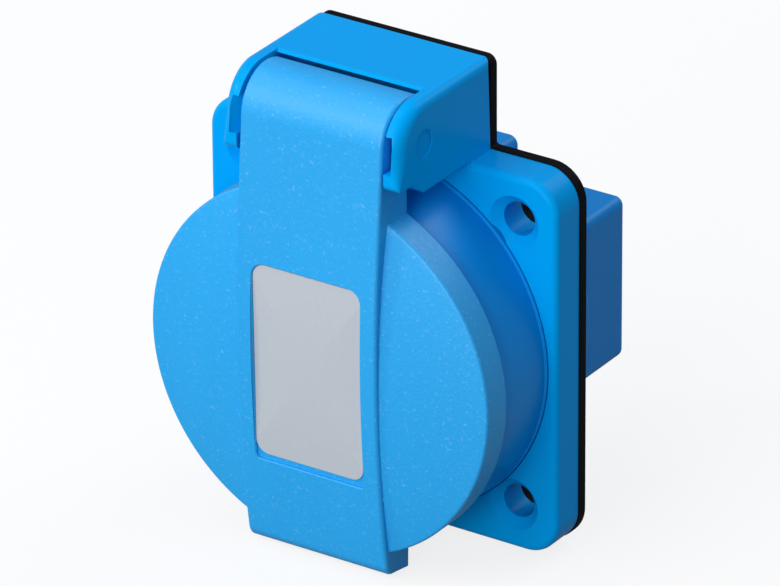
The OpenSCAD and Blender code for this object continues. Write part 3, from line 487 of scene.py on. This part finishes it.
# %% Frame holes
COLLAR_HOLE_R, BARREL_HOLE_R, HOLE_STEPS = 23.9, 21.1, 192
PIN_HOLE_R, EAR_MARK_R = 1.52, 1.8
FIXING_R, SINK_R, FIXING_AT = 2.2, 4.1, 19.0
FIXINGS = [(x, z) for x in (-FIXING_AT, FIXING_AT) for z in (-FIXING_AT, FIXING_AT)]
BRACKET_HALF, BRACKET_FRONT, BRACKET_LOW = 6.3, -15.7, TOWER_LOW + 0.01

cuts = [
    block("tower_core", (-10.5, -8.2, 27.3), (10.5, -1.0, 34.9)),
    rod("collar_hole", "y", (0, 0), COLLAR_HOLE_R, -7.0, LEDGE, steps=HOLE_STEPS),
    rod("barrel_hole", "y", (0, 0), BARREL_HOLE_R, -4.0, -1.0, steps=HOLE_STEPS),
    rod("pin_hole", "x", HINGE, PIN_HOLE_R, -13.1, 11.8),
    rod("ear_mark", "x", HINGE, EAR_MARK_R, 12.4, 13.1),
    block("key_slot", (-1.7, -4.0, -21.8), (1.7, -1.0, 0.0)),
]
sink = [(0, -7.2), (SINK_R, -7.2), (FIXING_R, -5.3), (FIXING_R, -1.0), (0, -1.0)]
cuts += [moved(revolve("fixing", sink, steps=64), *place) for place in FIXINGS]
# The spring's fixed leg rests on a small bracket under the bay
bracket = [
    block("bracket_plate", (-BRACKET_HALF, BRACKET_FRONT, BRACKET_LOW), (BRACKET_HALF, -6.0, 26.0)),
    block("bracket_rib", (-BRACKET_HALF, BRACKET_FRONT, BRACKET_LOW), (BRACKET_HALF, -14.6, 28.9))]
carve(flange, joins=[tower, *bracket], cuts=cuts)
finish_piece(flange, smooth_blue, "socket", ["flange_frame"], bevel_mm=0.12)

# %% [markdown]
# ## The gasket
#
# A flat rubber gasket follows the outline of the flange and the tower. It is cut from sheet, so it is that
# outline carried along Y with barely broken edges. It stands out a little round the flange and stops just
# inside the tower's sides.

# %% Gasket
LIP, GASKET_EDGE, GASKET_HOLE_R = 0.15, 0.12, 21.55
half, tower_half, top = FLANGE_HALF + LIP, TOWER_HALF - LIP, TOWER_TOP - LIP
corner_r, neck_r, top_r = FLANGE_CORNER + LIP, 0.4, 1.25
gasket_outline = soft_outline([
    (-half, -half, corner_r), (half, -half, corner_r), (half, half, corner_r), (tower_half, half, neck_r),
    (tower_half, top, top_r), (-tower_half, top, top_r), (-tower_half, half, neck_r),
    (-half, half, corner_r)])
gasket = prism(
    "gasket_skin", gasket_outline, FLANGE_BACK, PANEL, "y", r_lo=GASKET_EDGE, r_hi=GASKET_EDGE, steps=3)
cuts = [rod("barrel_hole", "y", (0, 0), GASKET_HOLE_R, -2.0, 0.5, steps=HOLE_STEPS)]
cuts += [rod("fixing_hole", "y", place, FIXING_R, -2.0, 0.5) for place in FIXINGS]
carve(gasket, cuts=cuts)
finish_piece(gasket, epdm_rubber, "socket", ["flange_gasket"])

# %% [markdown]
# ## The insert
#
# The collar, the plug well, its floor and the barrel that passes the panel are one round moulding, so its
# cross-section is turned about Y: that keeps every wall round without cutting anything. A small lip at the
# collar's foot gives the seam against the frame. The guide ribs, the bosses and the snap lugs are added,
# and the pin holes and the slots of the earth clips are cut.

# %% Collar, well and barrel
RIM, FLOOR, FLOOR_BACK, BARREL_END = -16.05, 1.35, 3.85, 7.6
WELL_R, COLLAR_R, COLLAR_FOOT_R, COLLAR_IN_R = 19.5, 23.55, 23.8, 21.7
BARREL_R, BARREL_IN_R, NECK_R, STEP_Y = 21.0, 19.2, 20.6, -13.95
PIN_X, BOSSES = 9.5, [(-9.0, 13.7), (9.0, -13.7)]

section = soft_outline([
    (COLLAR_FOOT_R, LEDGE, 0.15), (COLLAR_IN_R, LEDGE, 0), (COLLAR_IN_R, STEP_Y, 0), (NECK_R, STEP_Y, 0),
    (NECK_R, PANEL, 0), (BARREL_R, PANEL, 0), (BARREL_R, BARREL_END, 0.45), (BARREL_IN_R, BARREL_END, 0.2),
    (BARREL_IN_R, FLOOR_BACK, 0), (0.0, FLOOR_BACK, 0), (0.0, FLOOR, 0), (WELL_R, FLOOR, 0.5),
    (WELL_R, RIM, 0.6), (COLLAR_R, RIM, 0.6), (23.6, -6.95, 0.1), (COLLAR_FOOT_R, -6.65, 0.08)], 6)
insert = revolve("insert_skin", section, steps=256)
print("insert section:", len(section), "points")

# %% Ribs, bosses, lugs and holes
BOSS_R, BOSS_HOLE_R, STRAP_HALF, LUG_HALF_TURN = 2.5, 1.27, 3.15, 12
RIB_IN, RIB_OUT, RIB_HALF, RIB_FRONT = 17.1, 20.0, 2.4, -13.05
joins = []
for side in (-1, 1):
    x0, x1 = sorted((side * RIB_IN, side * RIB_OUT))
    rib = rectangle(x0, -RIB_HALF, x1, RIB_HALF, 0.4)
    joins.append(prism("guide_rib", rib, RIB_FRONT, FLOOR + 0.5, "y", r_lo=0.3))
joins += [rod("boss", "y", place, BOSS_R, FLOOR + 0.5, FLOOR_BACK + 1.8) for place in BOSSES]
lug = [(20.2, -1.45), (21.45, -1.45), (21.45, -1.05), (20.6, -0.4), (20.2, -0.4)]
joins += [revolve("lug", lug, turn - LUG_HALF_TURN, turn + LUG_HALF_TURN, 16) for turn in (45, 135, 225, 315)]
joins.append(block("key", (-1.6, -4.0, -21.7), (1.6, FLANGE_BACK, -20.2)))

# Each pin hole has a lead-in cone; it starts at 3 degrees, so that no edge falls on the well's own edges
lead_in = [(0, 0.85), (3.75, 0.85), (2.75, 1.85), (2.75, 4.4), (0, 4.4)]
cuts = [moved(revolve("pin_hole", lead_in, 3, 363, 64), x) for x in (-PIN_X, PIN_X)]
cuts += [block("clip_slot", (-STRAP_HALF, 0.8, low), (STRAP_HALF, 4.4, low + 1.5)) for low in (17.15, -18.65)]
cuts += [rod("boss_hole", "y", place, BOSS_HOLE_R, 2.65, 6.2) for place in BOSSES]
cuts.append(rod("earth_relief", "y", (0, 14.1), 2.1, 1.9, 4.4))
carve(insert, joins=joins, cuts=cuts)
finish_piece(insert, glossy_blue, "socket", ["socket_insert"], sharp=40)

# %% [markdown]
# ## The lid
#
# The lid is a shallow dome with a rolled front edge, so its section is turned about Y. A raised band
# crosses it: a gentle crown, a straight run, then a curl round the hinge, all one path. A modeller could
# bend a strip along it; here the band's side view is carried along X with rolled edges, so that the crown,
# the curl and the tab stay true arcs. The dome stays solid until the band is joined, and one cutter then
# makes the hollow and the seal's groove together, so no thin wall is left between two cuts.

# %% Dome
LID_BACK, DOME_FRONT, LID_R, WALL = -16.2, -23.0, 24.2, 2.2
DOME_RISE, EDGE_R, BACK_ROLL = 2.5, 0.4, 0.3
DOME_R = (LID_R**2 + DOME_RISE**2) / (2 * DOME_RISE)
DOME_Y = DOME_FRONT + DOME_R


def dome_y(r, depth=0.0):
    """The dome's Y at a radius, or that of a sphere some depth below it: its centre less sqrt(R^2 - r^2)."""
    return DOME_Y - np.sqrt((DOME_R - depth) ** 2 - r**2)


edge_y = dome_y(LID_R - EDGE_R, EDGE_R)
edge_r = (LID_R - EDGE_R) * DOME_R / (DOME_R - EDGE_R)
edge_start = np.degrees(np.arctan2(-(DOME_Y - edge_y), LID_R - EDGE_R))
out_r = np.linspace(0, edge_r, 40)
dome_section = np.concatenate([
    np.stack([out_r, dome_y(out_r)], axis=1),
    arc((LID_R - EDGE_R, edge_y), EDGE_R, edge_start, 0, 12)[1:],
    soft_outline([(LID_R, -18.0, 0), (LID_R, LID_BACK, BACK_ROLL), (0, LID_BACK, 0)], 5)])
lid = revolve("lid_skin", dome_section, steps=256)
print("dome radius in mm:", round(DOME_R, 1))

# %% Band
BAND_FRONT, BAND_R, BAND_HALF, APEX_Z = -23.247, 175.0, 10.1, 3.4
KNUCKLE, CURL_END = 5.4, 65.0
BAND_ROLL, HEEL_ROLL, CURL_ROLL = 0.5, 0.2, 0.3
TAB_FRONT_Z, TAB_BACK_Z, TAB_ROLL, TAB_TOP = -25.2, -25.7, 1.9, -19.8
BAND_AXIS = np.array([BAND_FRONT + BAND_R, APEX_Z])
to_hinge = HINGE - BAND_AXIS
# The run leaves the crown where one straight line touches both the crown and the knuckle
leave = np.degrees(
    np.arctan2(to_hinge[1], to_hinge[0]) + np.arccos((BAND_R - KNUCKLE) / np.hypot(*to_hinge)))


def crown(depth):
    """The band's face, or a surface some depth below it, as Y over X and Z: a cylinder about the crown's
    axis, so Y is that axis less sqrt(R^2 - (Z - Z of the apex)^2)."""
    return lambda x, z: BAND_AXIS[0] - np.sqrt((BAND_R - depth) ** 2 - (z - APEX_Z) ** 2)


def band_side(depth, low_z, steps):
    """The band's side line at one depth, downwards: an arc round the hinge, a straight run that touches it,
    and an arc of the crown."""
    curl = arc(HINGE, KNUCKLE - depth, CURL_END, leave, 40)
    low_turn = 180 + np.degrees(np.arcsin((APEX_Z - low_z) / (BAND_R - depth)))
    crown_arc = arc(BAND_AXIS, BAND_R - depth, leave, low_turn, steps)
    run = curl[-1] + np.linspace(0, 1, 22)[1:-1, None] * (crown_arc[0] - curl[-1])
    return np.concatenate([curl, run, crown_arc])


corner = np.array([crown(0.0)(0, TAB_FRONT_Z), TAB_FRONT_Z])
above = np.array([crown(0.0)(0, TAB_FRONT_Z + 3), TAB_FRONT_Z + 3])
heel = np.array([LID_BACK - 0.02, TAB_BACK_Z])  # just off the lid's back, so that no two faces share a plane
toe = soft_corner(above, corner, heel, TAB_ROLL, 16)
underside = toe[-1] + np.linspace(0, 1, 8)[1:, None] * (heel - toe[-1])
face = band_side(0.0, toe[0, 1] + 0.1, 70)
inside = band_side(WALL, TAB_TOP, 60)[::-1]
band_view = np.concatenate([face, toe, underside, [(heel[0], TAB_TOP)], inside])
roll = np.concatenate([
    np.full(len(face) + len(toe), BAND_ROLL), np.linspace(BAND_ROLL, HEEL_ROLL, len(underside)),
    np.zeros(1 + len(inside))])
roll[0] = CURL_ROLL
band = prism("band", band_view, -BAND_HALF, BAND_HALF, "x", r_lo=roll, r_hi=roll)
print("band leaves its crown at", round(float(leave), 2), "degrees")

# %% Cheeks, eyes and eyelet
CHEEK_IN, EYE_IN, EYE_R, CHEEK_DEPTH = 8.1, 6.6, 4.6, 1.3
lean = np.array([np.cos(np.radians(leave)), np.sin(np.radians(leave))])
cheek_view = [
    BAND_AXIS + (BAND_R - CHEEK_DEPTH) * lean, (LID_BACK - 0.03, 21.5), HINGE - (0.03, 0),
    HINGE + (KNUCKLE - CHEEK_DEPTH) * lean]
cheeks, eyes = [], []
for side in (-1, 1):
    x0, x1 = sorted((side * CHEEK_IN, side * (BAND_HALF - 0.02)))
    cheeks.append(prism("cheek", cheek_view, x0, x1, "x"))
    x0, x1 = sorted((side * EYE_IN, side * (BAND_HALF - 0.03)))
    eyes.append(rod("eye", "x", HINGE, EYE_R, x0, x1))
# The spring's moving leg ends in a small eyelet behind the band
eyelet = prism("eyelet", rectangle(-20.5, 24.2, -17.15, 26.2, 0.3), 3.85, 6.55, "x")
print("cheeks and eyes:", len(cheeks) + len(eyes))

# %% Recess and hollow
RECESS_D, RECESS_FLARE, RECESS_HALF, RECESS_TOP = 0.42, 0.12, 7.76, -26.0
PIN_BORE_R, LEG_BORE_R = 1.55, 0.55
HOLLOW_R, GROOVE_IN_R, GROOVE_OUT_R, GROOVE_Y, LIP_Y, OPEN_Y = 18.7, 19.5, 21.5, -18.2, -17.0, -15.0
recess = rectangle(-RECESS_HALF, -13.1, RECESS_HALF, 13.45, [0.5, 0.5, 1.8, 1.8], 14)
in_r = np.linspace(0, HOLLOW_R, 24)
# The outline closes on itself, so its first corner's arc makes the lip's inner side lean out by 0.45 mm
groove = soft_outline([
    (HOLLOW_R, LIP_Y, 0.1), (GROOVE_IN_R, LIP_Y, 0.1), (GROOVE_IN_R, GROOVE_Y, 0),
    (GROOVE_OUT_R, GROOVE_Y, 0)], 3)
hollow_section = np.concatenate([
    np.stack([in_r, dome_y(in_r, WALL)], axis=1), groove, [(GROOVE_OUT_R, OPEN_Y), (0, OPEN_Y)]])
cuts = [
    pocket("recess", recess, crown, RECESS_D, RECESS_FLARE, RECESS_TOP),
    revolve("hollow", hollow_section, 0.5, 360.5, 256),  # turned half a degree off the dome's own steps
    rod("pin_bore", "x", HINGE, PIN_BORE_R, -12.0, 12.0),
    rod("leg_bore", "z", (5.2, -18.5), LEG_BORE_R, 23.7, 26.7, steps=24)]
carve(lid, joins=[band, *cheeks, *eyes, eyelet], cuts=cuts)
finish_piece(lid, grained_blue, "lid", ["lid"], sharp=32)

# %% [markdown]
# ## The label and the seal
#
# The label lies on the recess's floor, a cylinder like the band's face, so it is a slab between two such
# surfaces: a flat sticker would stand off at both ends. The seal is a rubber ring in the lid's groove, a
# small rounded section turned about Y.

# %% Label and seal
LABEL_T, LABEL_HALF, LABEL_CORNER = 0.2, 7.7, 1.7
label_outline = rectangle(-LABEL_HALF, -12.25, LABEL_HALF, 13.35, LABEL_CORNER, 14)
label = slab("label_skin", label_outline, crown(RECESS_D), crown(RECESS_D - LABEL_T))
finish_piece(label, label_foil, "lid", ["rating_label"])
seal_section = soft_outline([
    (19.6, GROOVE_Y, 0.1), (21.4, GROOVE_Y, 0.1), (21.4, -16.3, 0.4), (19.6, -16.3, 0.4)], 6)
seal = revolve("seal_skin", seal_section)
finish_piece(seal, epdm_rubber, "lid", ["lid_seal"])

# %% [markdown]
# ## The terminal block
#
# Behind the panel, a round foot sits in the barrel and carries the box with a chamber for each pole, and a
# small housing for the earth terminal on top. All chambers are open to the rear. The box gets its chambers
# before it joins the foot, so that their floors stay whole.

# %% Box and foot
BOX_START, BOX_END, BOX_HALF, BOX_HALF_H = BARREL_END - 0.3, 20.95, 17.57, 10.94
CHAMBER_IN, CHAMBER_OUT, CHAMBER_HALF_H = 1.0, 16.27, 9.64
foot = rod("terminal_block_skin", "y", (0, 0), 19.1, FLOOR_BACK, BARREL_END, r_end=0.2, steps=HOLE_STEPS)
box = prism(
    "box", rectangle(-BOX_HALF, -BOX_HALF_H, BOX_HALF, BOX_HALF_H, 1.2), BOX_START, BOX_END, "y", r_hi=0.9)
earth_box = prism(
    "earth_box", rectangle(-5.9, 0, 5.9, 18.4, [0, 0, 1.2, 1.2]), BOX_START, 15.0, "y", r_hi=0.3)
chambers = [
    prism("chamber", rectangle(x0, -CHAMBER_HALF_H, x1, CHAMBER_HALF_H, 0.4),
          BARREL_END, BOX_END + CLEAR, "y", r_lo=0.3)
    for x0, x1 in ((-CHAMBER_OUT, -CHAMBER_IN), (CHAMBER_IN, CHAMBER_OUT))]
carve(box, joins=[earth_box], cuts=chambers)
print("terminal box:", len(box.data.polygons), "faces")

# %% Posts, rooms and bores
ROOM_START, POST_HALF, NOTCH_HALF = 3.3, 3.3, 2.3
SLEEVE_R, SCREW_R, BOSS_ROOM_R, SCREW_HOLE_R = 3.92, 2.1, 2.6, 1.45
posts = [block("post", (x - POST_HALF, BOX_START, -10.0), (x + POST_HALF, 12.4, -3.7))
         for x in (-PIN_X, PIN_X)]
cuts = []
for x in (-PIN_X, PIN_X):
    cuts.append(rod("sleeve_bore", "y", (x, 0), SLEEVE_R, ROOM_START, BARREL_END + CLEAR))
    cuts.append(rod("screw_bore", "y", (x, -6.4), SCREW_R, 7.4, 12.9))
    cuts.append(block("wire_notch", (x - NOTCH_HALF, 14.4, -11.5), (x + NOTCH_HALF, BOX_END + CLEAR, -9.1)))
cuts += [block("strap_room", (-STRAP_HALF, ROOM_START, -19.2), (STRAP_HALF, 4.67, 19.2)),
         block("earth_room", (-4.7, ROOM_START, BOX_HALF_H), (4.7, 15.5, 17.2))]
cuts += [rod("boss_room", "y", place, BOSS_ROOM_R, ROOM_START, 5.67) for place in BOSSES]
cuts += [rod("screw_hole", "y", place, SCREW_HOLE_R, 3.8, 8.1) for place in BOSSES]
carve(foot, joins=[box, *posts], cuts=cuts)
finish_piece(foot, glossy_blue, "socket", ["terminal_block"], sharp=40)

# %% [markdown]
# ## Metal pieces
#
# Screws, clamps, contacts, the pin and the spring are small and mostly hidden, so they keep their CAD forms
# and only get their metals.

# %% Metals on the CAD pieces
steel_nodes = ["hinge_pin", "lid_spring", "block_screws", "line_grip_ring", "neutral_grip_ring", "line_clamp",
               "neutral_clamp", "earth_clamp", "line_screw", "neutral_screw", "earth_screw"]
brass_nodes = ["line_contact", "neutral_contact", "earth_strap"]
for names, metal in ((steel_nodes, zinc_steel), (brass_nodes, stamped_brass)):
    for name in names:
        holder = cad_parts[name]
        holder.data.materials.clear()
        holder.data.materials.append(metal)
print("metal pieces:", len(steel_nodes) + len(brass_nodes))

# %% [markdown]
# ## Camera, floor and light
#
# The camera was fitted to the photograph's straight edges and circles: it stands a metre away with a long
# lens, to the right of the socket and above it.

# %% Camera
AZIMUTH, ELEVATION, ROLL = np.radians([33.49, 26.53, -0.372])
TARGET, DISTANCE, LENS, SENSOR = np.array([3.508, -10.0, 6.884]), 1040.24, 399.02, 36.0
UP = np.array([0.0, 0.0, 1.0])
scene = bpy.context.scene


def set_up(thing, axes, place):
    """Links an object to the scene with the columns of axes as its own axes, at a place in metres."""
    rows = [[*row, p] for row, p in zip(axes.tolist(), place)]
    thing.matrix_world = Matrix(rows + [[0, 0, 0, 1]])
    scene.collection.objects.link(thing)


back = np.array([
    np.sin(AZIMUTH) * np.cos(ELEVATION), -np.cos(AZIMUTH) * np.cos(ELEVATION), np.sin(ELEVATION)])
right = np.cross(-back, UP)
right /= np.linalg.norm(right)
up = np.cross(back, right)
rolled_right = right * np.cos(ROLL) + up * np.sin(ROLL)
rolled_up = -right * np.sin(ROLL) + up * np.cos(ROLL)
eye = (TARGET + DISTANCE * back) * MM
camera_data = bpy.data.cameras.new("camera")
camera_data.sensor_fit, camera_data.sensor_width, camera_data.lens = "HORIZONTAL", SENSOR, LENS
camera_data.clip_start, camera_data.clip_end = 0.01, 20.0
camera = bpy.data.objects.new("camera", camera_data)
set_up(camera, np.stack([rolled_right, rolled_up, back], axis=1), eye)
scene.camera = camera
print("camera at", np.round(eye, 3))

# %% [markdown]
# ### Floor and room
#
# The photograph has a white ground with hardly any shadow. The floor glows to the camera for most of its
# share, and keeps the rest as shaded paper, so the shadow stays. Mirrored rays see a smaller share of the
# glow, and to all other rays the floor is grey, so it throws little light back up at the object.

# %% Floor and room
CAMERA_GLOW, MIRROR_GLOW = 0.82, 0.20
FLOOR_GAP, FLOOR_SIDE = 0.00005, 4.0
floor_white, tree = new_material("white_paper_floor")
rays = add(tree, "ShaderNodeLightPath").outputs
tone = add(tree, "ShaderNodeMix", {
    "Factor": rays["Is Camera Ray"], MIX_A: colour("#707070"), MIX_B: colour("#F4F4F4")}, data_type="RGBA")
paper = add(tree, "ShaderNodeBsdfDiffuse", {"Color": tone.outputs[MIX_OUT]})
glow = add(tree, "ShaderNodeEmission", {"Color": colour("#FFFFFF"), "Strength": 1.0})
mirrored = add(tree, "ShaderNodeMath", {
    0: rays["Is Glossy Ray"], 1: rays["Is Transmission Ray"]}, operation="MAXIMUM")
dimmed = add(tree, "ShaderNodeMath", {0: mirrored.outputs[0], 1: MIRROR_GLOW}, operation="MULTIPLY")
direct = add(tree, "ShaderNodeMath", {0: rays["Is Camera Ray"], 1: CAMERA_GLOW}, operation="MULTIPLY")
share = add(tree, "ShaderNodeMath", {0: direct.outputs[0], 1: dimmed.outputs[0]}, operation="MAXIMUM")
finish_material(tree, add(tree, "ShaderNodeMixShader", {
    0: share.outputs[0], 1: paper.outputs[0], 2: glow.outputs[0]}))
floor_z = cad_box[0][2] - FLOOR_GAP
floor_mesh = bpy.data.meshes.new("floor")
floor_mesh.from_pydata(
    [(x * FLOOR_SIDE, y * FLOOR_SIDE, floor_z) for x, y in ((-1, -1), (1, -1), (1, 1), (-1, 1))], [],
    [(0, 1, 2, 3)])
floor_mesh.materials.append(floor_white)
floor = bpy.data.objects.new("floor", floor_mesh)
scene.collection.objects.link(floor)

world = bpy.data.worlds.new("pale_room")
world.use_nodes = True
room = world.node_tree.nodes["Background"].inputs
room["Color"].default_value = colour("#D2E4FF")
room["Strength"].default_value = 0.40
scene.world = world
print("floor at", round(floor_z / MM, 2), "mm")

# %% [markdown]
# ### Lamps
#
# A big soft key hangs in front at the upper left, as the photograph's shading shows. A small lamp far out
# on the left draws the band's left edge. A fill low in front keeps the lid's lower half up, an overhead
# light lifts the roof, and a light from behind gives the top edges their rim.

# %% Lamps
def soft_lamp(name, place, watts, size):
    """A square soft light that faces the socket."""
    lamp = bpy.data.lights.new(name, "AREA")
    lamp.energy, lamp.size, lamp.shape = watts, size, "SQUARE"
    away = np.array(place) / np.linalg.norm(place)
    side = np.cross(UP, away)
    side /= np.linalg.norm(side)
    set_up(bpy.data.objects.new(name, lamp), np.stack([side, np.cross(away, side), away], axis=1), place)


soft_lamp("key_softbox", (-0.28, -0.85, 0.65), 4.8, 0.60)
soft_lamp("left_bulb", (-0.85, -0.50, 0.50), 2.6, 0.15)
soft_lamp("front_fill", (0.16, -1.03, 0.24), 5.2, 0.46)
soft_lamp("overhead_softbox", (-0.42, -0.15, 0.90), 1.4, 0.50)
soft_lamp("rear_strip", (0.30, 0.65, 0.75), 3.0, 0.60)
scene.view_settings.view_transform = "Standard"
print("lamps:", len(bpy.data.lights))
